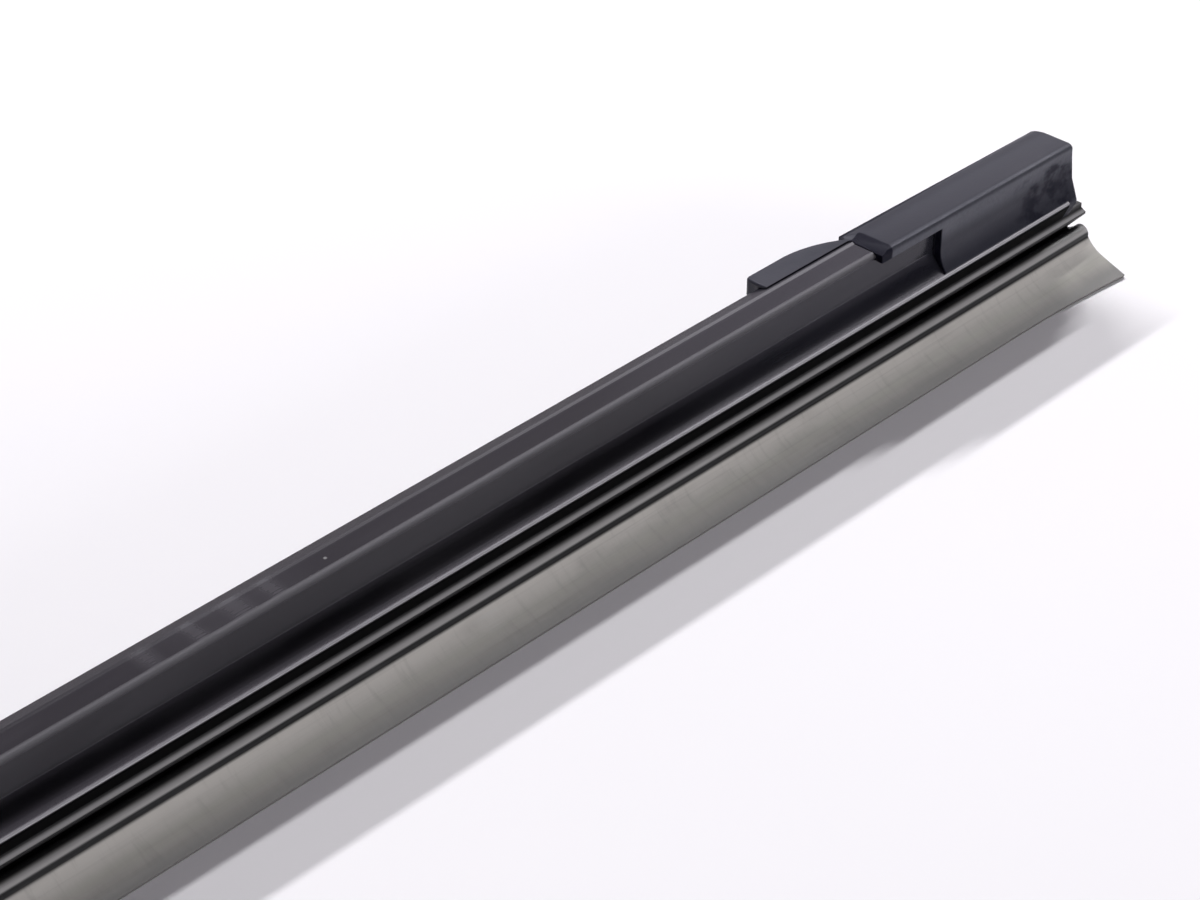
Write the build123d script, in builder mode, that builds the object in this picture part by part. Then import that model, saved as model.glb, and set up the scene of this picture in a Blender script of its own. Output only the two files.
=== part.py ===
from build123d import *
import os
from math import cos, radians, sin

os.makedirs("parts", exist_ok=True)

# Whole blade, millimetres. X runs along the blade, near side -Y, Z up, pivot axis on Y.
# Heights of the sections are above the wiping edge.
blade_length = 500.0
pin_height = 17.3
rubber_overhang = 5.0

# Fits
flexor_fit = 0.05
pocket_fit = 0.08
end_fit = 0.1
cover_fit = 0.2
bush_fit = 0.05
joint_gap = 0.4
cut_margin = 1.0

# Wiper rubber
lip_length = 10.0
lip_fold = 69.0
lip_edge_half = 0.25
lip_thin_half = 0.36
lip_thin_run = 6.75
lip_bend_half = 0.74
lip_bend_run = 4.9
shoulder_half = 2.5
shoulder_run = 3.4
shoulder_round = 0.6
shoulder_foot_run = 0.25
shoulder_foot = 1.5
neck_half = 0.45
neck_run = 0.5
neck_root = 0.3
neck_flare = 0.35
neck_overlap = 0.2
rib_half = 3.15
rib_top_z = 7.55
rib_low_z = 7.2
rib_bevel = 0.4
strip_half = 2.4
head_half = 2.25
head_top_z = 11.3
head_setback = 7.5

# Spring rails
flexor_thickness = 0.9
flexor_width = 2.4
flexor_low_z = 9.45
flexor_setback = 7.0
web_half = 0.9

# Spoiler section
crest_z = 19.9
crest_half = 2.6
crest_round = 0.7
ridge_y = 1.5
ridge_rise = 0.06
ridge_run = 0.5
strip_y = 3.2
strip_z = 19.45
flank_half = 2.4
cove_start = 22.0
cove_end = 65.0
flange_half = 5.0
flange_z = 12.35
flange_land = 0.6
flange_round = 0.2
claw_half = 3.95
claw_side_z = 9.55
claw_low_z = 8.5
claw_gap_half = 2.9

# End cap
cap_wall_length = 28.0
cap_hood_length = 40.0
cap_half = 3.65
cap_top_z = 20.6
cap_round = 0.9
cap_cove_z = 15.6
cap_cove_radius = 4.3
cap_cove_angle = 42.0
cap_low_z = 12.2
cap_cut_width = 9.0
hood_side_z = 18.9
hood_slope = 2.0
end_wall = 1.5
end_wall_low_z = 8.8
rim_run = 2.6
rim_edge = 0.6
rim_inset = 0.3
flare_angle = 38.0
rim_half = 4.0
rim_z = 15.2
rim_top_z = 19.0
rim_foot = 0.05
rim_round = 0.25
ear_length = 16.0
ear_curve = 8.6
ear_curve_mid = 5.4
ear_curve_drop = 1.15
ear_half = 5.6
ear_inner = 2.1
ear_root = 0.6
ear_root_width = 0.3
ear_thickness = 2.4
ear_round = 0.8
ear_edge_round = 0.3
ear_web_top_z = 18.3
ear_web_low_z = 16.5

# Connector
connector_length = 68.0
connector_corner = 2.8
rail_half = 8.0
rail_top_z = 10.95
housing_length = 34.0
housing_half = 6.2
housing_top_z = 21.5
housing_round = 2.0
pin_bore_radius = 3.2
bush_radius = 4.6
bush_flange_radius = 5.8
bush_flange = 0.8
bush_flange_round = 0.3
cover_wall = 1.6
cover_end_z = 20.6
cover_mid_z = 24.3
cover_round = 1.2

# Derived
half = blade_length / 2
cap_end = half - rubber_overhang
cap_start = cap_end - cap_hood_length
wall_start = cap_end - cap_wall_length
ear_start = cap_start - ear_length
ear_curve_start = cap_start - ear_curve
ear_top_z = crest_z + ridge_rise
hood_rise = cap_top_z - ear_top_z
head_end = half - head_setback
flexor_end = half - flexor_setback
spoiler_end = cap_end - end_wall - end_fit
connector_end = connector_length / 2
spoiler_start = connector_end + joint_gap
flexor_top_z = flexor_low_z + flexor_thickness
flexor_mid_z = flexor_low_z + flexor_thickness / 2
flexor_inner = web_half + flexor_fit
flexor_mid_y = flexor_inner + flexor_width / 2
slot_half = flexor_inner + flexor_width + flexor_fit
slot_low_z = flexor_low_z - flexor_fit
slot_top_z = flexor_top_z + flexor_fit
channel_half = head_half + end_fit
channel_top_z = head_top_z + end_fit
cove_mid = (cove_start + cove_end) / 2
cove_radius = (flange_half - flank_half) / (cos(radians(cove_start)) - cos(radians(cove_end)))
cove_top_z = flange_z + cove_radius * (sin(radians(cove_end)) - sin(radians(cove_start)))
cove_mid_y = flank_half + cove_radius * (cos(radians(cove_start)) - cos(radians(cove_mid)))
cove_mid_z = cove_top_z - cove_radius * (sin(radians(cove_mid)) - sin(radians(cove_start)))
fold = radians(lip_fold)
neck_z = lip_length * cos(fold) + lip_edge_half * sin(fold)
rubber_cut_z = end_wall_low_z - cover_fit


def section(x):
    return Plane(origin=(x, 0, -pin_height), x_dir=(0, 1, 0), z_dir=(1, 0, 0))


def both_sides(points):
    return points + [(-y, z) for y, z in reversed(points)]


def on_lip(u, s):
    # u runs from the neck to the wiping edge, s across it, folded over to the near side
    return (-(u * sin(fold) + s * cos(fold)), neck_z - u * cos(fold) + s * sin(fold))


def cap_cove(turn, side, inset=0):
    # point on the concave foot of the cap's flank
    angle = radians(turn)
    y = cap_half - inset + cap_cove_radius * (1 - cos(angle))
    return (side * y, cap_cove_z - cap_cove_radius * sin(angle))


# Lip of the rubber, folded over
foot_run = shoulder_run + shoulder_foot_run
with BuildSketch() as lip_section:
    with BuildLine():
        Polyline(
            on_lip(foot_run, shoulder_foot),
            on_lip(shoulder_run, shoulder_half),
            on_lip(neck_run, neck_half),
            on_lip(-neck_root, neck_half),
            on_lip(-neck_root, -neck_half),
            on_lip(neck_run, -neck_half),
            on_lip(shoulder_run, -shoulder_half),
            on_lip(foot_run, -shoulder_foot),
        )
        ThreePointArc(
            on_lip(foot_run, -shoulder_foot),
            on_lip(lip_bend_run, -lip_bend_half),
            on_lip(lip_thin_run, -lip_thin_half),
        )
        Polyline(
            on_lip(lip_thin_run, -lip_thin_half),
            on_lip(lip_length, -lip_edge_half),
            on_lip(lip_length, lip_edge_half),
            on_lip(lip_thin_run, lip_thin_half),
        )
        ThreePointArc(
            on_lip(lip_thin_run, lip_thin_half),
            on_lip(lip_bend_run, lip_bend_half),
            on_lip(foot_run, shoulder_foot),
        )
    make_face()
    for side in (-1, 1):
        shoulder_corner = on_lip(shoulder_run, side * shoulder_half)
        fillet(lip_section.vertices().sort_by_distance(shoulder_corner)[0], shoulder_round)

# Body of the rubber under the rails: strip, side rib and the taper to the neck
rib_points = [
    (strip_half, rib_top_z + rib_bevel),
    (rib_half, rib_top_z),
    (rib_half, rib_low_z),
    (neck_half, neck_z + neck_flare),
    (neck_half, neck_z - neck_overlap),
]
with BuildSketch() as low_section:
    Polygon(both_sides([(strip_half, rubber_cut_z)] + rib_points), align=None)
    add(lip_section.sketch)

# Whole rubber section with the head that sits between and over the rails
head_points = [
    (head_half, head_top_z),
    (head_half, slot_top_z),
    (web_half, slot_top_z),
    (web_half, slot_low_z),
    (strip_half, slot_low_z),
]
with BuildSketch() as full_section:
    Polygon(both_sides(head_points + rib_points), align=None)
    add(lip_section.sketch)

# Way through for the rails and the head of the rubber
channel_points = both_sides([
    (claw_gap_half, claw_low_z - cut_margin),
    (claw_gap_half, slot_low_z),
    (slot_half, slot_low_z),
    (slot_half, slot_top_z),
    (channel_half, slot_top_z),
    (channel_half, channel_top_z),
])

# Outline of the spoiler: crest with a ridge, concave flanks, flange and claws that run in under the rails
near_claw = [
    (-flange_half, flange_z - flange_land),
    (-claw_half, claw_side_z),
    (-claw_gap_half, claw_low_z),
]
with BuildSketch() as spoiler_outline:
    with BuildLine():
        Polyline(
            (flank_half, cove_top_z),
            (strip_y, strip_z),
            (ridge_y, crest_z + ridge_rise),
            (ridge_y - ridge_run, crest_z),
            (-crest_half, crest_z),
            (-flank_half, cove_top_z),
        )
        ThreePointArc(
            (-flank_half, cove_top_z),
            (-cove_mid_y, cove_mid_z),
            (-flange_half, flange_z),
        )
        Polyline([(-flange_half, flange_z)] + both_sides(near_claw) + [(flange_half, flange_z)])
        ThreePointArc(
            (flange_half, flange_z),
            (cove_mid_y, cove_mid_z),
            (flank_half, cove_top_z),
        )
    make_face()
    fillet(spoiler_outline.vertices().sort_by_distance((-crest_half, crest_z))[0], crest_round)
    for side in (-1, 1):
        flange_corner = spoiler_outline.vertices().sort_by_distance((side * flange_half, flange_z))[0]
        fillet(flange_corner, flange_round)

with BuildSketch() as spoiler_section:
    add(spoiler_outline.sketch)
    Polygon(channel_points, align=None, mode=Mode.SUBTRACT)

# Clearance shape of the spoiler for the cap pocket
with BuildSketch() as pocket_section:
    add(spoiler_outline.sketch)
    offset(amount=pocket_fit, kind=Kind.INTERSECTION)

with BuildPart() as wiper_rubber:
    with BuildSketch(section(-head_end)):
        add(full_section.sketch)
    extrude(amount=2 * head_end)
    with BuildSketch(section(-half)):
        add(low_section.sketch)
    extrude(amount=blade_length)
wiper_rubber.part.label = "wiper_rubber"
export_step(wiper_rubber.part, "parts/wiper_rubber.step")

with BuildPart() as flexor_front:
    with BuildSketch(section(-flexor_end)):
        with Locations((-flexor_mid_y, flexor_mid_z)):
            Rectangle(flexor_width, flexor_thickness)
    extrude(amount=2 * flexor_end)
flexor_front.part.label = "flexor_front"
export_step(flexor_front.part, "parts/flexor_front.step")

with BuildPart() as flexor_rear:
    with BuildSketch(section(-flexor_end)):
        with Locations((flexor_mid_y, flexor_mid_z)):
            Rectangle(flexor_width, flexor_thickness)
    extrude(amount=2 * flexor_end)
flexor_rear.part.label = "flexor_rear"
export_step(flexor_rear.part, "parts/flexor_rear.step")

with BuildPart() as spoiler_right:
    with BuildSketch(section(spoiler_start)):
        add(spoiler_section.sketch)
    extrude(amount=spoiler_end - spoiler_start)
spoiler_right.part.label = "spoiler_right"
export_step(spoiler_right.part, "parts/spoiler_right.step")

with BuildPart() as spoiler_left:
    with BuildSketch(section(-spoiler_end)):
        add(spoiler_section.sketch)
    extrude(amount=spoiler_end - spoiler_start)
spoiler_left.part.label = "spoiler_left"
export_step(spoiler_left.part, "parts/spoiler_left.step")

# End cap: roof and flanks round the spoiler, a longer hood on top, a closed end wall with a
# flared rim, and a flat ear lying along the far side of the crest
flange_reach = flange_half + rim_foot
with BuildPart() as end_cap_right:
    # ear
    with BuildSketch(Plane.XY.offset(ear_top_z - ear_thickness - pin_height)) as ear_section:
        with BuildLine():
            Polyline(
                (cap_start + ear_root, ear_inner + ear_root_width),
                (cap_start + ear_root, ear_inner),
                (ear_start, ear_inner),
                (ear_start, ear_half),
                (ear_curve_start, ear_half),
            )
            ThreePointArc(
                (ear_curve_start, ear_half),
                (ear_curve_start + ear_curve_mid, ear_half - ear_curve_drop),
                (cap_start + ear_root, ear_inner + ear_root_width),
            )
        make_face()
        fillet(ear_section.vertices().sort_by_distance((ear_start, ear_half))[0], ear_round)
    extrude(amount=ear_thickness)
    ear_rim = end_cap_right.faces().sort_by(Axis.Z)[-1].edges()
    fillet(ear_rim.filter_by_position(Axis.Y, flank_half, ear_half), ear_edge_round)
    # roof and flanks
    cap_foot_half = cap_cove(cap_cove_angle, 1)[0]
    with BuildSketch(section(cap_start)) as shell_section:
        with BuildLine():
            Polyline(
                (cap_half, cap_cove_z),
                (cap_half, cap_top_z),
                (-cap_half, cap_top_z),
                (-cap_half, cap_cove_z),
            )
            ThreePointArc(
                (-cap_half, cap_cove_z),
                cap_cove(cap_cove_angle / 2, -1),
                cap_cove(cap_cove_angle, -1),
            )
            Polyline(
                cap_cove(cap_cove_angle, -1),
                (-cap_foot_half, cap_low_z),
                (cap_foot_half, cap_low_z),
                cap_cove(cap_cove_angle, 1),
            )
            ThreePointArc(
                cap_cove(cap_cove_angle, 1),
                cap_cove(cap_cove_angle / 2, 1),
                (cap_half, cap_cove_z),
            )
        make_face()
        for side in (-1, 1):
            shell_corner = shell_section.vertices().sort_by_distance((side * cap_half, cap_top_z))[0]
            fillet(shell_corner, cap_round)
    extrude(amount=cap_end - rim_edge - cap_start)
    # hood: flanks cut away ahead of the side walls, lower on the far side where the ear is carried
    with BuildSketch(section(cap_start)):
        with Locations((-cap_cut_width / 2, 0)):
            Rectangle(cap_cut_width, hood_side_z, align=(Align.CENTER, Align.MIN))
        with Locations((cap_cut_width / 2, 0)):
            Rectangle(cap_cut_width, ear_web_low_z, align=(Align.CENTER, Align.MIN))
    extrude(amount=wall_start - cap_start, mode=Mode.SUBTRACT)
    # sloped front of the hood
    with BuildSketch(Plane(origin=(cap_start, 0, ear_top_z - pin_height), x_dir=(1, 0, 0), z_dir=(0, -1, 0))):
        Polygon(
            (0, 0),
            (hood_slope, hood_rise),
            (hood_slope, hood_rise + cut_margin),
            (0, hood_rise + cut_margin),
            align=None,
        )
    extrude(amount=cap_cut_width, both=True, mode=Mode.SUBTRACT)
    # end wall, and the flare that runs out to its rim
    rim_points = both_sides([
        (cap_half, cap_top_z),
        (cap_half, rim_top_z),
        (rim_half, rim_z),
        (flange_reach, flange_z),
        (flange_reach, flange_z - flange_land),
        (claw_half, claw_side_z),
        (claw_gap_half, end_wall_low_z),
    ])
    flare_half = cap_half - rim_inset
    flare_points = both_sides([
        (flare_half, cap_top_z - rim_inset),
        (flare_half, rim_top_z),
        (flare_half, rim_z),
        cap_cove(flare_angle, 1, rim_inset),
        (cap_foot_half, cap_low_z),
        (claw_half - rim_inset, claw_side_z),
        (claw_gap_half - rim_inset, end_wall_low_z),
    ])
    with BuildSketch(section(cap_end - rim_run)) as flare_section:
        Polygon(flare_points, align=None)
        for side in (-1, 1):
            flare_corner = flare_section.vertices().sort_by_distance((side * cap_half, cap_top_z))[0]
            fillet(flare_corner, cap_round)
    with BuildSketch(section(cap_end - rim_edge)) as rim_section:
        Polygon(rim_points, align=None)
        for side in (-1, 1):
            rim_corner = rim_section.vertices().sort_by_distance((side * cap_half, cap_top_z))[0]
            fillet(rim_corner, cap_round)
    loft(sections=[flare_section.sketch, rim_section.sketch])
    with BuildSketch(section(cap_end - rim_edge)):
        add(rim_section.sketch_local)
    extrude(amount=rim_edge)
    fillet(end_cap_right.faces().sort_by(Axis.X)[-1].edges(), rim_round)
    # web that carries the ear
    with BuildSketch(section(ear_curve_start)):
        with Locations(((flank_half + cap_half) / 2, ear_web_low_z)):
            Rectangle(cap_half - flank_half, ear_web_top_z - ear_web_low_z, align=(Align.CENTER, Align.MIN))
    extrude(amount=wall_start - ear_curve_start)
    with BuildSketch(section(ear_start - cut_margin)):
        add(pocket_section.sketch)
        Polygon(channel_points, align=None)
    extrude(amount=cap_end - end_wall - ear_start + cut_margin, mode=Mode.SUBTRACT)
end_cap_right.part.label = "end_cap_right"
export_step(end_cap_right.part, "parts/end_cap_right.step")

with BuildPart() as end_cap_left:
    mirror(end_cap_right.part, about=Plane.YZ)
end_cap_left.part.label = "end_cap_left"
export_step(end_cap_left.part, "parts/end_cap_left.step")

# Connector base: rails that grip the springs and a block bored for the pivot bush
with BuildPart() as connector_base:
    with BuildSketch(Plane.XY.offset(claw_low_z - pin_height)):
        RectangleRounded(connector_length, 2 * rail_half, connector_corner)
    extrude(amount=rail_top_z - claw_low_z)
    with BuildSketch(section(-housing_length / 2)):
        with Locations((0, claw_low_z)):
            Rectangle(2 * housing_half, housing_top_z - claw_low_z, align=(Align.CENTER, Align.MIN))
    extrude(amount=housing_length)
    fillet(connector_base.edges().filter_by(Axis.Y).group_by(Axis.Z)[-1], housing_round)
    with BuildSketch(section(-connector_end)):
        Polygon(channel_points, align=None)
    extrude(amount=connector_length, mode=Mode.SUBTRACT)
    with BuildSketch(Plane.XZ):
        Circle(bush_radius + bush_fit)
    extrude(amount=rail_half, both=True, mode=Mode.SUBTRACT)
connector_base.part.label = "connector_base"
export_step(connector_base.part, "parts/connector_base.step")

# Connector cover: arched shell over the base, open below, with a hole for the bush at each side
with BuildPart() as connector_cover:
    with BuildSketch(Plane(origin=(0, 0, -pin_height), x_dir=(1, 0, 0), z_dir=(0, -1, 0))):
        with BuildLine():
            Polyline(
                (connector_end, cover_end_z),
                (connector_end, rail_top_z),
                (-connector_end, rail_top_z),
                (-connector_end, cover_end_z),
            )
            ThreePointArc((-connector_end, cover_end_z), (0, cover_mid_z), (connector_end, cover_end_z))
        make_face()
    extrude(amount=rail_half, both=True)
    fillet(connector_cover.edges().filter_by(Axis.Z), connector_corner)
    fillet(connector_cover.faces().sort_by(Axis.Z)[-1].edges(), cover_round)
    with BuildSketch(Plane(origin=(0, 0, -pin_height), x_dir=(1, 0, 0), z_dir=(0, -1, 0))):
        with BuildLine():
            inner_end = connector_end - cover_wall
            inner_z = cover_end_z - cover_wall
            Polyline(
                (inner_end, inner_z),
                (inner_end, rail_top_z),
                (-inner_end, rail_top_z),
                (-inner_end, inner_z),
            )
            ThreePointArc((-inner_end, inner_z), (0, cover_mid_z - cover_wall), (inner_end, inner_z))
        make_face()
    extrude(amount=housing_half + cover_fit, both=True, mode=Mode.SUBTRACT)
    with BuildSketch(section(-connector_end)):
        with Locations((0, claw_low_z)):
            Rectangle(2 * channel_half, channel_top_z - claw_low_z, align=(Align.CENTER, Align.MIN))
    extrude(amount=connector_length, mode=Mode.SUBTRACT)
    with BuildSketch(Plane.XZ):
        Circle(bush_radius + bush_fit)
    extrude(amount=rail_half, both=True, mode=Mode.SUBTRACT)
connector_cover.part.label = "connector_cover"
export_step(connector_cover.part, "parts/connector_cover.step")

# Pivot bush: runs through cover and base, takes the arm's pin, flanged on the far side
with BuildPart() as pivot_bush:
    with BuildSketch(Plane.XZ.offset(rail_half)):
        Circle(bush_radius)
    extrude(amount=-2 * rail_half - bush_fit)
    with BuildSketch(Plane.XZ.offset(-rail_half - bush_fit)):
        Circle(bush_flange_radius)
    extrude(amount=-bush_flange)
    fillet(pivot_bush.faces().sort_by(Axis.Y)[-1].edges(), bush_flange_round)
    with BuildSketch(Plane.XZ.offset(rail_half)):
        Circle(pin_bore_radius)
    extrude(amount=-2 * rail_half - bush_fit - bush_flange, mode=Mode.SUBTRACT)
pivot_bush.part.label = "pivot_bush"
export_step(pivot_bush.part, "parts/pivot_bush.step")
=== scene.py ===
import math

import bmesh
import bpy
from mathutils import Matrix, Vector


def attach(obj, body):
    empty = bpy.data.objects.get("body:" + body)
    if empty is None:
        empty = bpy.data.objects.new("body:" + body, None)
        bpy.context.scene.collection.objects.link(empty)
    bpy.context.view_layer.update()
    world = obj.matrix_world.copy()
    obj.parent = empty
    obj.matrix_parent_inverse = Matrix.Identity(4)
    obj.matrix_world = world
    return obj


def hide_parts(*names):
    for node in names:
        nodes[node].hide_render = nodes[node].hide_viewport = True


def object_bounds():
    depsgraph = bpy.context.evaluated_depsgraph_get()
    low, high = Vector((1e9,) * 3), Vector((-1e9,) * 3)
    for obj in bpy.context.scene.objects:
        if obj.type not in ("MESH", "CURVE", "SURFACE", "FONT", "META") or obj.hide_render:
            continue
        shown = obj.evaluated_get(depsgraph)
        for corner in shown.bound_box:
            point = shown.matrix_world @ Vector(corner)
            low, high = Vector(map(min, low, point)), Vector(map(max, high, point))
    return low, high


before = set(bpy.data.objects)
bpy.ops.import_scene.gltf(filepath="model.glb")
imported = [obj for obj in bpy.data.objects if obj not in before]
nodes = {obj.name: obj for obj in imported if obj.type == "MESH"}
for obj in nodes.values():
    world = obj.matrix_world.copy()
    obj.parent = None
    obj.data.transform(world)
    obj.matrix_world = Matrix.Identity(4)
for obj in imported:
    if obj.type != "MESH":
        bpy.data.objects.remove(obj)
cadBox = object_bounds()
scene = bpy.context.scene
print("frame loaded with", len(nodes), "pieces")

# looks, shapes and edges are given in millimetres; the scene is in metres
perMetre = 1000
mm = 0.001

# camera, fitted to the photograph's view of the capped end
shot = {
    "place": (-0.08277, -0.22858, 0.21961),
    "elevation": 34.152,
    "azimuth": -46.354,
    "lens": 99.97,
    "sensor": 36,
}
eye = bpy.data.cameras.new("shot")
eye.lens = shot["lens"]
eye.sensor_width = shot["sensor"]
eye.sensor_fit = "HORIZONTAL"
camera = bpy.data.objects.new("shot", eye)
scene.collection.objects.link(camera)
camera.location = shot["place"]
camera.rotation_euler = (math.radians(90 - shot["elevation"]), 0, math.radians(shot["azimuth"]))
scene.camera = camera
print("camera set")


# one socket, so that shader maths reads as plain expressions
class Val:
    def __init__(self, shop, socket):
        self.shop = shop
        self.socket = socket

    def maths(self, operation, a, b):
        return self.shop.add("ShaderNodeMath", {"operation": operation}, {0: a, 1: b})

    def __add__(self, other):
        return self.maths("ADD", self, other)

    def __radd__(self, other):
        return self.maths("ADD", other, self)

    def __sub__(self, other):
        return self.maths("SUBTRACT", self, other)

    def __rsub__(self, other):
        return self.maths("SUBTRACT", other, self)

    def __mul__(self, other):
        return self.maths("MULTIPLY", self, other)

    def __rmul__(self, other):
        return self.maths("MULTIPLY", other, self)


# one node tree, of a finish or of the world
class Shop:
    def __init__(self, holder):
        holder.use_nodes = True
        self.holder = holder
        self.tree = holder.node_tree
        self.tree.nodes.clear()

    def add(self, kind, settings=None, sockets=None, out=0):
        node = self.tree.nodes.new(kind)
        for key, value in (settings or {}).items():
            setattr(node, key, value)
        for key, value in (sockets or {}).items():
            if isinstance(value, Val):
                self.tree.links.new(value.socket, node.inputs[key])
            else:
                node.inputs[key].default_value = value
        return Val(self, node.outputs[out]) if node.outputs else None

    # object coordinates in millimetres
    def place(self):
        metres = self.add("ShaderNodeTexCoord", out="Object")
        scale = (perMetre, perMetre, perMetre)
        return self.add("ShaderNodeMapping", {}, {"Vector": metres, "Scale": scale})

    def axes(self, place):
        split = self.add("ShaderNodeSeparateXYZ", {}, {0: place}).socket.node
        return [Val(self, socket) for socket in split.outputs]

    # noise with its cycles per millimetre along x, y and z
    def noise(self, place, cycles, detail=3.0, rough=0.5):
        grid = self.add("ShaderNodeMapping", {}, {"Vector": place, "Scale": cycles})
        sockets = {"Vector": grid, "Scale": 1.0, "Detail": detail, "Roughness": rough}
        return self.add("ShaderNodeTexNoise", {}, sockets)

    # eased step, 0 at low and 1 at high
    def step(self, value, low, high):
        sockets = {"Value": value, "From Min": low, "From Max": high}
        return self.add("ShaderNodeMapRange", {"interpolation_type": "SMOOTHSTEP"}, sockets)

    # the step at a share of its strength
    def patches(self, value, low, high, share):
        return self.step(value, low, high) * share

    # the least share, and what the value adds to it
    def vary(self, value, least, more):
        return least + value * more

    def size(self, value):
        return self.add("ShaderNodeMath", {"operation": "ABSOLUTE"}, {0: value})

    def near(self, place, centre, low, high):
        sockets = {0: place, 1: centre}
        gap = self.add("ShaderNodeVectorMath", {"operation": "DISTANCE"}, sockets, out="Value")
        return self.step(gap, high, low)

    # 6, 7 and 2 are the Mix node's colour sockets
    def mix(self, share, a, b):
        return self.add("ShaderNodeMix", {"data_type": "RGBA"}, {0: share, 6: a, 7: b}, out=2)

    # depth in millimetres
    def bump(self, height, strength, depth):
        sockets = {"Height": height, "Strength": strength, "Distance": depth * mm}
        return self.add("ShaderNodeBump", {}, sockets)

    def skin(self, sockets):
        return self.add("ShaderNodeBsdfPrincipled", {}, sockets)

    def blend(self, share, a, b):
        return self.add("ShaderNodeMixShader", {}, {0: share, 1: a, 2: b})

    def close(self, surface):
        self.add("ShaderNodeOutputMaterial", {}, {"Surface": surface})
        return self.holder


def newFinish(name):
    return Shop(bpy.data.materials.new(name))


# In the looks, a noise is its cycles, detail and roughness, a bump is its strength and depth,
# and a pair is where a step starts and ends, or the least share and what is added to it.

# satin extruded plastic: draw lines along the blade, rubbed bands on the top, one fleck; painted
# highlights on the near crest and along the flange edges, a painted haze lightening each end, and the
# claws near black and dull as painted shade
spoilerLook = {
    "black": (0.0026, 0.0025, 0.0034, 1),
    "haze": (0.045, 0.044, 0.049, 1),
    "hazeShare": 0.3,
    "gloss": 0.43,
    "tint": (0.93, 0.88, 1, 1),
    "roughClean": 0.17,
    "roughSpread": 0.12,
    "roughLines": 0.7,
    "roughCrest": 0.5,
    "drawLines": ((0.015, 4.5, 4.5), 4.0, 0.6),
    "drawBump": (0.12, 0.03),
    "cloud": ((0.05, 0.25, 0.25), 4.0),
    "cloudRange": (0.35, 0.75),
    # the near crest's lighter grey is a painted highlight
    "worn": (0.085, 0.083, 0.09, 1),
    "crestSide": (-1.6, -2.2),
    "crestHeight": (1.9, 2.35),
    "crestLines": (0.55, 0.7),
    "edgeHighlight": (0.38, 0.37, 0.39, 1),
    "edgeSide": (4.65, 4.9),
    "edgeHeight": (-5.25, -5.05),
    "edgeLines": (0.5, 0.8),
    "endPaintedHaze": (0.012, 0.012, 0.017, 1),
    "endStart": (150, 206),
    "topHeight": (2.0, 2.4),
    "topSide": (1.9, 1.4),
    "rubStart": (84, 97),
    "rubEnd": (112, 104),
    "rubShare": 0.3,
    "rubCloud": (0.6, 0.5),
    "scuffs": ((87.0, 2.2), (93.5, 1.7), (99.5, 2.6), (104.5, 1.8)),   # middle and reach along x
    "scuffShare": 0.7,
    "fleck": (0.2, 0.2, 0.2, 1),
    "fleckPlace": (112.3, -0.46, 2.62),
    "fleckSize": (0.12, 0.3),
    "clawShade": (0.0012, 0.0012, 0.0015, 1),
    "clawGloss": 0.02,
    "clawRough": 0.6,
    "clawHeight": (-5.15, -5.4),
}


def spoilerFinish(look):
    f = newFinish("spoilerSatin")
    place = f.place()
    x, y, z = f.axes(place)
    lines = f.noise(place, *look["drawLines"])
    cloud = f.step(f.noise(place, *look["cloud"]), *look["cloudRange"])
    top = f.step(z, *look["topHeight"]) * f.step(y, *look["topSide"])
    rubbed = f.step(x, *look["rubStart"]) * f.step(x, *look["rubEnd"]) * look["rubShare"]
    for middle, reach in look["scuffs"]:
        rubbed = rubbed + f.patches(f.size(x - middle), reach, 0, look["scuffShare"])
    rubbed = rubbed * top * f.vary(cloud, *look["rubCloud"])
    fleck = f.near(place, look["fleckPlace"], *look["fleckSize"])
    crest = f.step(y, *look["crestSide"]) * f.step(z, *look["crestHeight"])
    edge = f.step(f.size(y), *look["edgeSide"]) * f.step(z, *look["edgeHeight"])
    # painted haze: the black turns lighter and bluer towards each end
    base = f.mix(f.step(f.size(x), *look["endStart"]), look["black"], look["endPaintedHaze"])
    base = f.mix(rubbed + cloud * lines * look["hazeShare"], base, look["haze"])
    # painted highlight: a lighter grey along the near crest
    base = f.mix(crest * f.vary(lines, *look["crestLines"]), base, look["worn"])
    # painted highlight: a light grey line along the edge of each flange
    base = f.mix(edge * f.vary(lines, *look["edgeLines"]), base, look["edgeHighlight"])
    rough = look["roughClean"] + look["roughSpread"] * (lines * look["roughLines"] + rubbed)
    grain = f.bump(lines, *look["drawBump"])
    satin = f.skin({
        "Base Color": f.mix(fleck, base, look["fleck"]),
        "Roughness": rough + look["roughCrest"] * crest,
        "Specular IOR Level": look["gloss"],
        "Specular Tint": look["tint"],
        "Normal": grain,
    })
    # painted shade: the claws under the flange, near black and dull
    claws = f.skin({
        "Base Color": look["clawShade"],
        "Roughness": look["clawRough"],
        "Specular IOR Level": look["clawGloss"],
        "Normal": grain,
    })
    return f.close(f.blend(f.step(z, *look["clawHeight"]), satin, claws))


# where the folded lip starts and how far it leans, for the shape and finish of the rubber
lipFrame = {"fold": math.radians(69), "neckHeight": -13.483}
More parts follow.
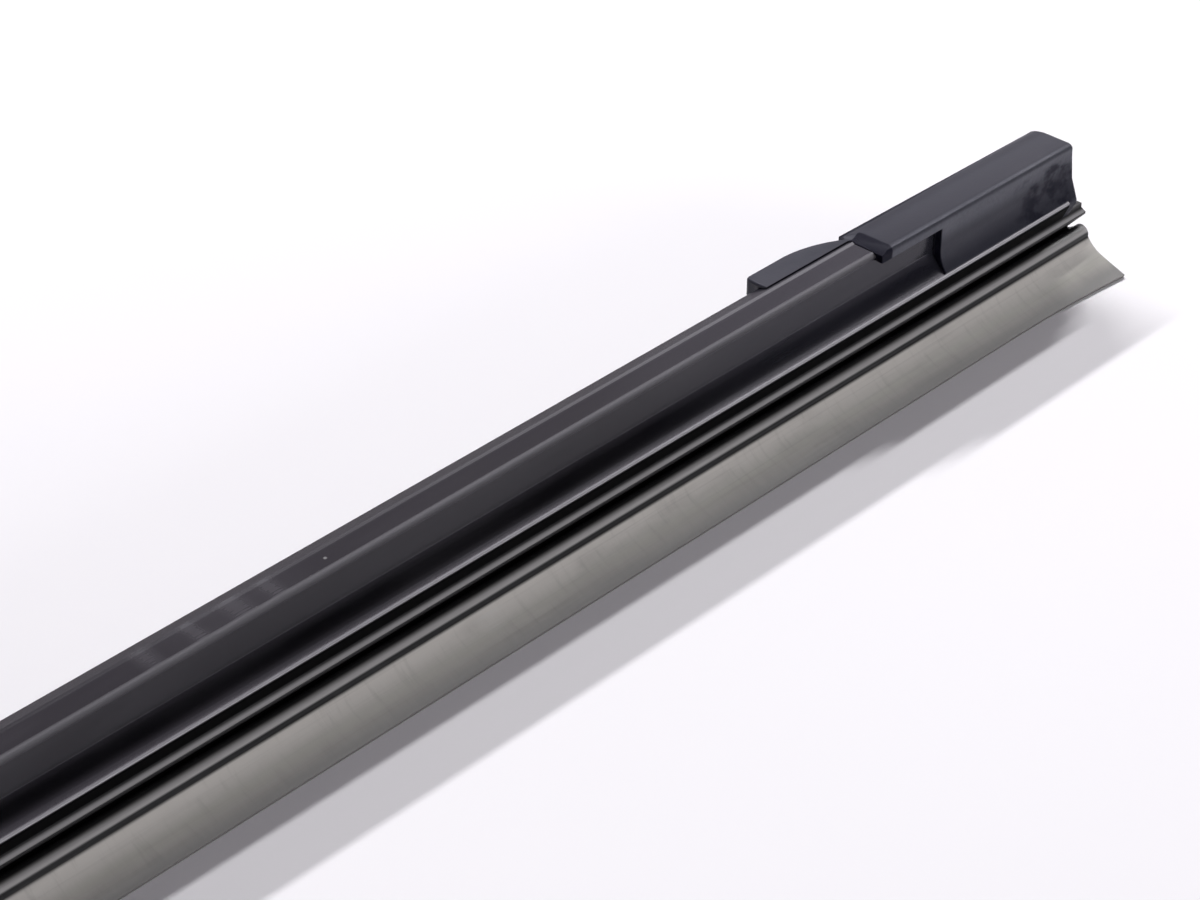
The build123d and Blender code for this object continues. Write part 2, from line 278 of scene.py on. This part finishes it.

# black rubber body, with a dry grey coat on the lip, its shoulder bead and the rib; that grey is partly a
# painted sheen, brightest at the lip's foot and on the bead and rib
rubberLook = {
    "black": (0.012, 0.012, 0.0125, 1),
    "dust": (0.05, 0.05, 0.052, 1),
    "gloss": 0.25,
    "roughBody": 0.36,
    "roughCoat": 0.2,
    "roughBrush": 0.18,
    "brushing": ((0.03, 3.0, 3.0), 4.0, 0.6),
    "blotches": ((0.07, 0.22, 0.22), 4.0, 0.55),
    "crossMarks": ((1.1, 0.16, 0.16), 3.0, 0.6),
    "noiseMiddle": 0.5,
    "bump": (0.16, 0.04),
    "bumpMarks": 0.5,
    "dustBrush": (0.35, 0.8, 0.4),   # start, end and share of each of these patches
    "dustBlotches": (0.45, 0.75, 0.3),
    "wornBlotches": (0.5, 0.68, 0.16),
    "wornBrush": (0.5, 0.8, 0.2),
    "wornMarks": (0.52, 0.75, 0.14),
    "ribCoatAndSheen": (0.3, 0.293, 0.3, 1),
    "ribSide": (2.45, 2.95),
    "ribHeight": (-9.85, -9.7),
    "ribBrush": (0.7, 0.5),
    "beadCoatAndSheen": (0.365, 0.356, 0.356, 1),
    "beadStart": (2.15, 3.1),
    "beadEnd": (3.42, 3.2),
    "beadBrush": (0.75, 0.4),
    "lipFoot": (0.55, 0.528, 0.5, 1),
    "lipMiddle": (0.35, 0.336, 0.307, 1),
    "lipEdge": (0.165, 0.16, 0.157, 1),
    "coatStart": (3.66, 4.05),
    "coatFade": (4.6, 7.4),
    "edgeFade": (6.8, 9.9),
    "wanderBlotch": 0.7,   # how far the two noises shift the fades
    "wanderMarks": 0.5,
    "smudge": (0.55, 0.545, 0.53, 1),
    "smudgePlace": (133.4, -3.9, -14.6),
    "smudgeSize": (0.6, 3.6),
    "smudgeBlotch": 0.5,
    "smudgeRange": (0.68, 0.92),
    "smudgeShare": 0.7,
}


def rubberFinish(look, lip):
    f = newFinish("wiperRubber")
    place = f.place()
    y, z = f.axes(place)[1:]
    rise = z - lip["neckHeight"]
    run = y * -math.sin(lip["fold"]) - rise * math.cos(lip["fold"])   # from neck to edge
    brush = f.noise(place, *look["brushing"])
    blotch = f.noise(place, *look["blotches"])
    marks = f.noise(place, *look["crossMarks"])
    wander = (blotch - look["noiseMiddle"]) * look["wanderBlotch"]
    wander = wander + (marks - look["noiseMiddle"]) * look["wanderMarks"]
    coat = f.step(run, *look["coatStart"])
    # the coat's grey, lightest at the foot and darkest at the edge, is partly a painted sheen
    grey = f.mix(f.step(run + wander, *look["coatFade"]), look["lipFoot"], look["lipMiddle"])
    grey = f.mix(f.step(run + wander, *look["edgeFade"]), grey, look["lipEdge"])
    worn = f.patches(blotch, *look["wornBlotches"]) + f.patches(brush, *look["wornBrush"])
    worn = worn + f.patches(marks, *look["wornMarks"])
    grey = f.mix(worn, grey, look["lipEdge"])
    smudge = f.near(place, look["smudgePlace"], *look["smudgeSize"])
    smudge = smudge * f.step(brush + blotch * look["smudgeBlotch"], *look["smudgeRange"])
    grey = f.mix(smudge * look["smudgeShare"], grey, look["smudge"])
    dusty = f.patches(brush, *look["dustBrush"]) + f.patches(blotch, *look["dustBlotches"])
    body = f.mix(dusty, look["black"], look["dust"])
    # bead and rib: grey coat with a painted sheen, giving the light lines on them
    bead = f.step(run, *look["beadStart"]) * f.step(run, *look["beadEnd"])
    bead = bead * f.vary(brush, *look["beadBrush"])
    body = f.mix(bead, body, look["beadCoatAndSheen"])
    rib = f.step(f.size(y), *look["ribSide"]) * f.step(z, *look["ribHeight"])
    rib = rib * f.vary(brush, *look["ribBrush"])
    body = f.mix(rib, body, look["ribCoatAndSheen"])
    rough = look["roughBody"] + look["roughCoat"] * (coat + bead + rib)
    return f.close(f.skin({
        "Base Color": f.mix(coat, body, grey),
        "Roughness": rough + (brush - look["noiseMiddle"]) * look["roughBrush"],
        "Specular IOR Level": look["gloss"],
        "Normal": f.bump(brush + marks * look["bumpMarks"], *look["bump"]),
    }))


# what the moulded pieces share: fine grain under a soft cloud
mouldedLook = {
    "cloudRange": (0.3, 0.72),
    "toneCloud": 0.6,
    "toneGrain": 0.4,
    "roughCloud": 0.6,
    "roughGrain": 0.6,
    "roughLess": 0.3,
    "peel": (0.3, 0.05),
}
# on each cap, painted shade: a darker near side, and a near black, dull finish on its fronts, near edge
# and the near side of its top, with a mottled patch by the end as a painted dark reflection; and a painted
# highlight on the upper near flank
capLook = {
    **mouldedLook,
    "name": "endCapGrainAndShade",
    "black": (0.0105, 0.011, 0.0175, 1),
    "grey": (0.027, 0.028, 0.037, 1),
    "gloss": 0.36,
    "tint": (0.87, 0.86, 1, 1),
    "rough": 0.43,
    "roughSpread": 0.14,
    "grain": ((2.6, 2.6, 2.6), 2.0, 0.55),
    "cloud": ((0.16, 0.2, 0.2), 4.0, 0.6),
    "nearSide": (2.8, -3.2),
    "nearShadeShare": 0.8,
    "worn": (0.075, 0.077, 0.093, 1),
    "flankHighlightSide": (-3.2, -3.5),
    "flankHighlightHeight": (-1.0, 1.4),
    "flankHighlightGrain": (0.4, 0.6),
    "shadeBlack": (0.005, 0.005, 0.011, 1),
    "dullGloss": 0.1,
    "dullRough": 0.55,
    "edgeSide": (-2.4, -3.0),
    "edgeHeight": (1.9, 2.5),
    "edgeShare": 0.2,
    "topHeight": (2.4, 2.9),
    "topShare": 0.26,
    "hoodFront": (207.2, 206.7),
    "hoodSide": (2.05, 1.9),
    "wallFront": (217.25, 217.1),
    "wallTop": (1.7, 1.5),
    "wallSide": (-2.6, -2.9),
    "patch": ((0.24, 0.5, 0.34), 3.0, 0.6),
    "patchRange": (0.36, 0.64),
    "patchStart": (229, 237),
    "patchSide": (-2.2, -3.0),
    "patchTop": (2.0, 1.2),
    "patchShare": 0.75,
}
coverLook = {
    **mouldedLook,
    "name": "connectorGrain",
    "black": (0.014, 0.014, 0.0165, 1),
    "grey": (0.029, 0.029, 0.0325, 1),
    "gloss": 0.4,
    "tint": (0.94, 0.93, 1, 1),
    "rough": 0.42,
    "roughSpread": 0.16,
    "grain": ((2.2, 2.2, 2.2), 2.0, 0.55),
    "cloud": ((0.09, 0.12, 0.12), 4.0, 0.6),
}


# where the cap gets painted shade: fronts of wall and hood, near edge, near side of the top, and a mottled
# patch standing in for a dark reflection
def paintedShadePlaces(f, look, place):
    x, y, z = f.axes(place)
    along = f.size(x)
    spots = f.step(f.noise(place, *look["patch"]), *look["patchRange"])
    patch = f.step(along, *look["patchStart"]) * f.step(y, *look["patchSide"]) * spots
    patch = patch * look["patchShare"] * f.step(z, *look["patchTop"])
    wall = f.step(along, *look["wallFront"]) * f.step(z, *look["wallTop"]) * f.step(y, *look["wallSide"])
    hood = f.step(along, *look["hoodFront"]) * f.step(y, *look["hoodSide"])
    edge = f.step(y, *look["edgeSide"]) * f.step(z, *look["edgeHeight"]) * look["edgeShare"]
    top = f.step(y, *look["nearSide"]) * f.step(z, *look["topHeight"]) * look["topShare"]
    return f.step(patch + (wall + hood + edge + top), 0, 1)


def grainFinish(look):
    f = newFinish(look["name"])
    place = f.place()
    isCap = "patch" in look
    grain = f.noise(place, *look["grain"])
    cloud = f.step(f.noise(place, *look["cloud"]), *look["cloudRange"])
    tone = cloud * look["toneCloud"] + grain * look["toneGrain"]
    rough = cloud * look["roughCloud"] + grain * look["roughGrain"] - look["roughLess"]
    if isCap:
        y, z = f.axes(place)[1:]
        # painted shade: the grain grows darker towards the near side
        tone = tone * (1 - f.step(y, *look["nearSide"]) * look["nearShadeShare"])
    base = f.mix(tone, look["black"], look["grey"])
    if isCap:
        # painted highlight: a lighter grey on the upper part of the near flank
        worn = f.step(y, *look["flankHighlightSide"]) * f.step(z, *look["flankHighlightHeight"])
        base = f.mix(worn * f.vary(grain, *look["flankHighlightGrain"]), base, look["worn"])
    peel = f.bump(grain, *look["peel"])
    moulded = f.skin({
        "Base Color": base,
        "Roughness": look["rough"] + look["roughSpread"] * rough,
        "Specular IOR Level": look["gloss"],
        "Specular Tint": look["tint"],
        "Normal": peel,
    })
    if not isCap:
        return f.close(moulded)
    # painted shade: a near black, dull finish for the cap's shaded places
    shadeBlack = f.skin({
        "Base Color": look["shadeBlack"],
        "Roughness": look["dullRough"],
        "Specular IOR Level": look["dullGloss"],
        "Specular Tint": look["tint"],
        "Normal": peel,
    })
    return f.close(f.blend(paintedShadePlaces(f, look, place), moulded, shadeBlack))


# black coat over a die casting: orange peel and a little dust
baseLook = {
    "black": (0.011, 0.011, 0.012, 1),
    "dust": (0.03, 0.03, 0.032, 1),
    "dustPeel": 0.6,
    "dustPits": 0.4,
    "dustRange": (0.4, 0.7),
    "rough": 0.3,
    "roughSpread": 0.16,
    "peel": ((0.9, 0.9, 0.9), 2.0),
    "pits": ((5.0, 5.0, 5.0), 2.0),
    "bump": (0.2, 0.08),
    "bumpPits": 0.25,
}


def castFinish(look):
    f = newFinish("coatedCasting")
    place = f.place()
    peel = f.noise(place, *look["peel"])
    pits = f.noise(place, *look["pits"])
    dusty = f.step(peel * look["dustPeel"] + pits * look["dustPits"], *look["dustRange"])
    return f.close(f.skin({
        "Base Color": f.mix(dusty, look["black"], look["dust"]),
        "Roughness": look["rough"] + look["roughSpread"] * pits,
        "Normal": f.bump(peel + pits * look["bumpPits"], *look["bump"]),
    }))


# turned nylon: fine rings round the bore
bushLook = {
    "dark": (0.05, 0.05, 0.052, 1),
    "light": (0.085, 0.085, 0.086, 1),
    "lightCloud": 0.7,
    "lightRings": 0.3,
    "lightRange": (0.36, 0.66),
    "rough": 0.3,
    "roughSpread": 0.14,
    "rings": ((0.25, 7.0, 0.25), 3.0),
    "cloud": ((0.4, 0.4, 0.4), 3.0),
    "bump": (0.15, 0.03),
}


def nylonFinish(look):
    f = newFinish("bushNylon")
    place = f.place()
    rings = f.noise(place, *look["rings"])
    cloud = f.noise(place, *look["cloud"])
    light = f.step(cloud * look["lightCloud"] + rings * look["lightRings"], *look["lightRange"])
    return f.close(f.skin({
        "Base Color": f.mix(light, look["dark"], look["light"]),
        "Roughness": look["rough"] + look["roughSpread"] * rings,
        "Normal": f.bump(rings, *look["bump"]),
    }))


# dark rolled spring steel
railLook = {
    "steel": (0.33, 0.33, 0.34, 1),
    "stain": (0.2, 0.195, 0.19, 1),
    "stained": (0.45, 0.75, 0.7),
    "rough": 0.24,
    "roughSpread": 0.2,
    "rolling": ((0.02, 6.0, 6.0), 4.0, 0.6),
    "cloud": ((0.04, 0.3, 0.3), 4.0),
    "bump": (0.1, 0.02),
}


def steelFinish(look):
    f = newFinish("springSteel")
    place = f.place()
    rolling = f.noise(place, *look["rolling"])
    stained = f.patches(f.noise(place, *look["cloud"]), *look["stained"])
    return f.close(f.skin({
        "Base Color": f.mix(stained, look["steel"], look["stain"]),
        "Roughness": look["rough"] + look["roughSpread"] * rolling,
        "Normal": f.bump(rolling, *look["bump"]),
        "Metallic": 1.0,
    }))


finishes = {
    "wiper_rubber": rubberFinish(rubberLook, lipFrame),
    "flexor": steelFinish(railLook),
    "spoiler": spoilerFinish(spoilerLook),
    "end_cap": grainFinish(capLook),
    "connector_base": castFinish(baseLook),
    "connector_cover": grainFinish(coverLook),
    "pivot_bush": nylonFinish(bushLook),
}
for name, node in nodes.items():
    slot = next(key for key in finishes if name.startswith(key))
    node.data.materials.clear()
    node.data.materials.append(finishes[slot])
print("finishes on", len(nodes), "pieces")

# copies whose form the photo asks to differ from the CAD piece; each takes that piece's place
copyWork = {"merge": 1e-6, "flat": 0.5, "cut": 1e-7}


def mergedCopy(node):
    work = bmesh.new()
    work.from_mesh(node.data)
    bmesh.ops.remove_doubles(work, verts=work.verts, dist=copyWork["merge"])
    flat = math.radians(copyWork["flat"])
    bmesh.ops.dissolve_limit(work, angle_limit=flat, verts=work.verts, edges=work.edges)
    return work


def cutAcross(work, x):
    parts = [*work.verts, *work.edges, *work.faces]
    spot = (x * mm, 0, 0)
    bmesh.ops.bisect_plane(work, geom=parts, dist=copyWork["cut"], plane_co=spot, plane_no=(1, 0, 0))


def standIn(work, name, node, slot, smooth):
    bmesh.ops.recalc_face_normals(work, faces=work.faces)
    mesh = bpy.data.meshes.new(name)
    work.to_mesh(mesh)
    work.free()
    mesh.shade_smooth()
    mesh.set_sharp_from_angle(angle=math.radians(smooth))
    mesh.materials.append(finishes[slot])
    piece = bpy.data.objects.new(name, mesh)
    scene.collection.objects.link(piece)
    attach(piece, "root")
    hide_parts(node.name)
    return piece


# 0 at low and 1 at high
def portion(value, low, high):
    return (value - low) / (high - low)


def between(share, low, high):
    return low + share * (high - low)


# rubber with full round beads at its shoulders: the points of each shoulder's round swing out
# on a larger arc, given as run from the neck and side of the lip's middle;
# the lip spreads a little towards each end
stripShape = {
    "roundRun": (2.6, 3.63),
    "roundSide": 1.6,
    "fromCentre": (3.033, 1.506),
    "fromTurn": (-35, 76),
    "centre": (2.45, 1.3),
    "radius": 1.2,
    "turn": (-88, 80),
    "spreadCuts": (228, 234, 240, 245),
    "spreadEnds": (228, 250),
    "spreadRun": (3.7, 10.0),
    "spread": 1.1,
    "smooth": 35,
}


def beadedRubber(node, shape, lip):
    sine = math.sin(lip["fold"])
    cosine = math.cos(lip["fold"])
    fromRun, fromSide = shape["fromCentre"]
    toRun, toSide = shape["centre"]
    runLow, runHigh = shape["roundRun"]
    spreadFoot = shape["spreadRun"][0]
    work = mergedCopy(node)
    for cut in shape["spreadCuts"]:
        cutAcross(work, -cut)
        cutAcross(work, cut)
    for point in work.verts:
        y = point.co.y * perMetre
        z = point.co.z * perMetre - lip["neckHeight"]
        run = -y * sine - z * cosine
        side = -y * cosine + z * sine
        if runLow < run < runHigh and abs(side) > shape["roundSide"]:
            turn = math.degrees(math.atan2(run - fromRun, abs(side) - fromSide))
            swing = math.radians(between(portion(turn, *shape["fromTurn"]), *shape["turn"]))
            run = toRun + shape["radius"] * math.sin(swing)
            side = math.copysign(toSide + shape["radius"] * math.cos(swing), side)
            point.co.y = -(run * sine + side * cosine) * mm
            point.co.z = (lip["neckHeight"] + side * sine - run * cosine) * mm
        elif run > spreadFoot:
            along = max(0, portion(abs(point.co.x) * perMetre, *shape["spreadEnds"]))
            share = portion(run, *shape["spreadRun"])
            point.co.y -= shape["spread"] * along * along * share * mm
    return standIn(work, "rubber_strip", node, "wiper_rubber", shape["smooth"])


# caps with a wide round along the far side of the top, which falls a little towards the end;
# points of the old round, and of its inside down to the depth, move onto the wide one
capShape = {
    "ends": (205.3, 245),
    "fromCentre": (2.75, 2.4),
    "fromRadius": 0.9,
    "depth": 0.4,
    "slack": 0.01,
    "centre": (0.6, 1.75),
    "radii": (3.05, 1.55),
    "fall": 0.4,
    "smooth": 35,
}


def roundedCap(node, name, shape):
    fromSide, fromHeight = shape["fromCentre"]
    toSide, toHeight = shape["centre"]
    wide, high = shape["radii"]
    work = mergedCopy(node)
    for point in work.verts:
        along = portion(abs(point.co.x) * perMetre, *shape["ends"])
        out = abs(point.co.y) * perMetre - fromSide
        up = point.co.z * perMetre - fromHeight
        depth = shape["fromRadius"] - math.hypot(out, up)
        if along < 0 or min(out, up) < -shape["slack"] or depth > shape["depth"]:
            continue
        rise = point.co.z * perMetre - toHeight
        if point.co.y > 0:
            turn = math.atan2(up, out)
            rise = (high - depth) * math.sin(turn)
            point.co.y = (toSide + (wide - depth) * math.cos(turn)) * mm
        rise = rise * (1 - shape["fall"] * along / high)
        point.co.z = (toHeight + rise) * mm
    return standIn(work, name, node, "end_cap", shape["smooth"])


beadedRubber(nodes["wiper_rubber"], stripShape, lipFrame)
roundedCap(nodes["end_cap_right"], "cap_right", capShape)
roundedCap(nodes["end_cap_left"], "cap_left", capShape)
print("rubber beads and cap tops rounded")

# broken edges, as an extruder or a mould leaves them
edges = {
    "flexor_front": 0.08,
    "flexor_rear": 0.08,
    "spoiler_right": 0.07,
    "spoiler_left": 0.07,
    "connector_base": 0.15,
    "connector_cover": 0.15,
    "pivot_bush": 0.12,
}
edgeWork = {"weld": 0.002, "flat": 1.0, "corner": 28, "segments": 3}


def breakEdges(node, width, work):
    weld = node.modifiers.new("weld", "WELD")
    weld.merge_threshold = work["weld"] * mm
    flat = node.modifiers.new("flat", "DECIMATE")
    flat.decimate_type = "DISSOLVE"
    flat.angle_limit = math.radians(work["flat"])
    bevel = node.modifiers.new("round", "BEVEL")
    bevel.width = width * mm
    bevel.segments = work["segments"]
    bevel.limit_method = "ANGLE"
    bevel.angle_limit = math.radians(work["corner"])
    bevel.use_clamp_overlap = True
    shade = node.modifiers.new("shade", "WEIGHTED_NORMAL")
    shade.keep_sharp = True


for name, width in edges.items():
    breakEdges(nodes[name], width, edgeWork)
print("edges broken")

# pale sheet under the blade, its size in metres
floorLook = {
    "size": 8,
    "pale": (0.915, 0.895, 0.93, 1),
    "cool": (0.90, 0.882, 0.918, 1),
    "tooth": (0.02, 0.02, 0.02),
    "rough": 0.9,
}


def sheetFinish(look):
    f = newFinish("paleSheet")
    tooth = f.noise(f.place(), look["tooth"])
    return f.close(f.skin({
        "Base Color": f.mix(tooth, look["pale"], look["cool"]),
        "Roughness": look["rough"],
    }))


bpy.ops.mesh.primitive_plane_add(size=floorLook["size"], location=(0, 0, cadBox[0][2]))
floor = bpy.context.object
floor.name = "floor"
floor.data.materials.append(sheetFinish(floorLook))

# two strip lamps behind for the double shadow, a soft low fill in front, two cards for the gloss
lamps = {
    "backLeft": {
        "toward": (0.262, 0.91, 1),
        "away": 1.6,
        "size": (0.9, 0.05),
        "power": 16.95,
        "gloss": False,
    },
    "backRight": {
        "toward": (0.64, 0.523, 1),
        "away": 1.6,
        "size": (0.6, 0.05),
        "power": 13.9,
        "gloss": False,
    },
    "frontFill": {
        "toward": (0.3, -0.94, 0.14),
        "away": 1.2,
        "size": (0.7, 0.7),
        "power": 9.2,
        "gloss": False,
    },
    "topCard": {
        "toward": (0.595, 0.112, 0.795),
        "away": 1.2,
        "size": (0.9, 0.9),
        "power": 9.0,
        "gloss": True,
    },
    "edgeCard": {
        "toward": (0.6, -0.06, 0.798),
        "away": 1.15,
        "size": (0.9, 0.26),
        "power": 9.5,
        "gloss": True,
    },
}
lampTarget = (0.15, 0, 0)   # on the stretch of blade that the camera sees


def hangLamp(name, lamp, target):
    light = bpy.data.lights.new(name, "AREA")
    light.shape = "RECTANGLE"
    light.size, light.size_y = lamp["size"]
    light.energy = lamp["power"]
    holder = bpy.data.objects.new(name, light)
    scene.collection.objects.link(holder)
    aim = Vector(lamp["toward"]).normalized()
    along = (Vector((1, 0, 0)) - aim * aim.x).normalized()   # a strip's long side follows the blade
    turned = Matrix((along, aim.cross(along), aim)).transposed().to_4x4()
    holder.matrix_world = Matrix.Translation(Vector(target) + aim * lamp["away"]) @ turned
    holder.visible_camera = False
    holder.visible_glossy = lamp["gloss"]
    holder.visible_diffuse = not lamp["gloss"]


for name, lamp in lamps.items():
    hangLamp(name, lamp, lampTarget)

# white room: plain where the camera sees it, with its darker sides for the gloss
room = {
    "ambient": 0.118,
    "tint": (1, 0.93, 1.03, 1),
    "white": (1, 1, 1, 1),
    "back": 0.75,
    "backLow": (0.25, 0.08),
    "backLowDark": 0.35,
    "backHigh": (0.64, 0.82),
    "backHighDark": 0.6,
    "frontSide": (0.08, -0.2),
    "frontLow": 0.3,
    "frontDark": (0.1, 0.3),
    "frontHigh": (0.66, 0.9),
    "frontTop": 0.9,
}


def paintRoom(world, room):
    f = Shop(world)
    y, z = f.axes(f.add("ShaderNodeTexCoord", out="Generated"))[1:]
    path = f.add("ShaderNodeLightPath").socket.node
    seen = Val(f, path.outputs["Is Camera Ray"])
    gloss = Val(f, path.outputs["Is Glossy Ray"]) + Val(f, path.outputs["Is Transmission Ray"])
    back = room["back"] * (1 - room["backLowDark"] * f.step(z, *room["backLow"]))
    back = back * (1 - room["backHighDark"] * f.step(z, *room["backHigh"]))
    front = room["frontLow"] * (1 - f.step(z, *room["frontDark"]))
    front = front + room["frontTop"] * f.step(z, *room["frontHigh"])
    share = f.step(y, *room["frontSide"])
    shaded = back * (1 - share) + front * share
    strength = room["ambient"] * (1 - seen - gloss) + seen + gloss * shaded
    colour = f.mix(seen, room["tint"], room["white"])
    light = f.add("ShaderNodeBackground", {}, {"Color": colour, "Strength": strength})
    f.add("ShaderNodeOutputWorld", {}, {"Surface": light})


scene.world = bpy.data.worlds.new("whiteRoom")
paintRoom(scene.world, room)
scene.view_settings.view_transform = "Standard"
print("floor, lamps and room set")
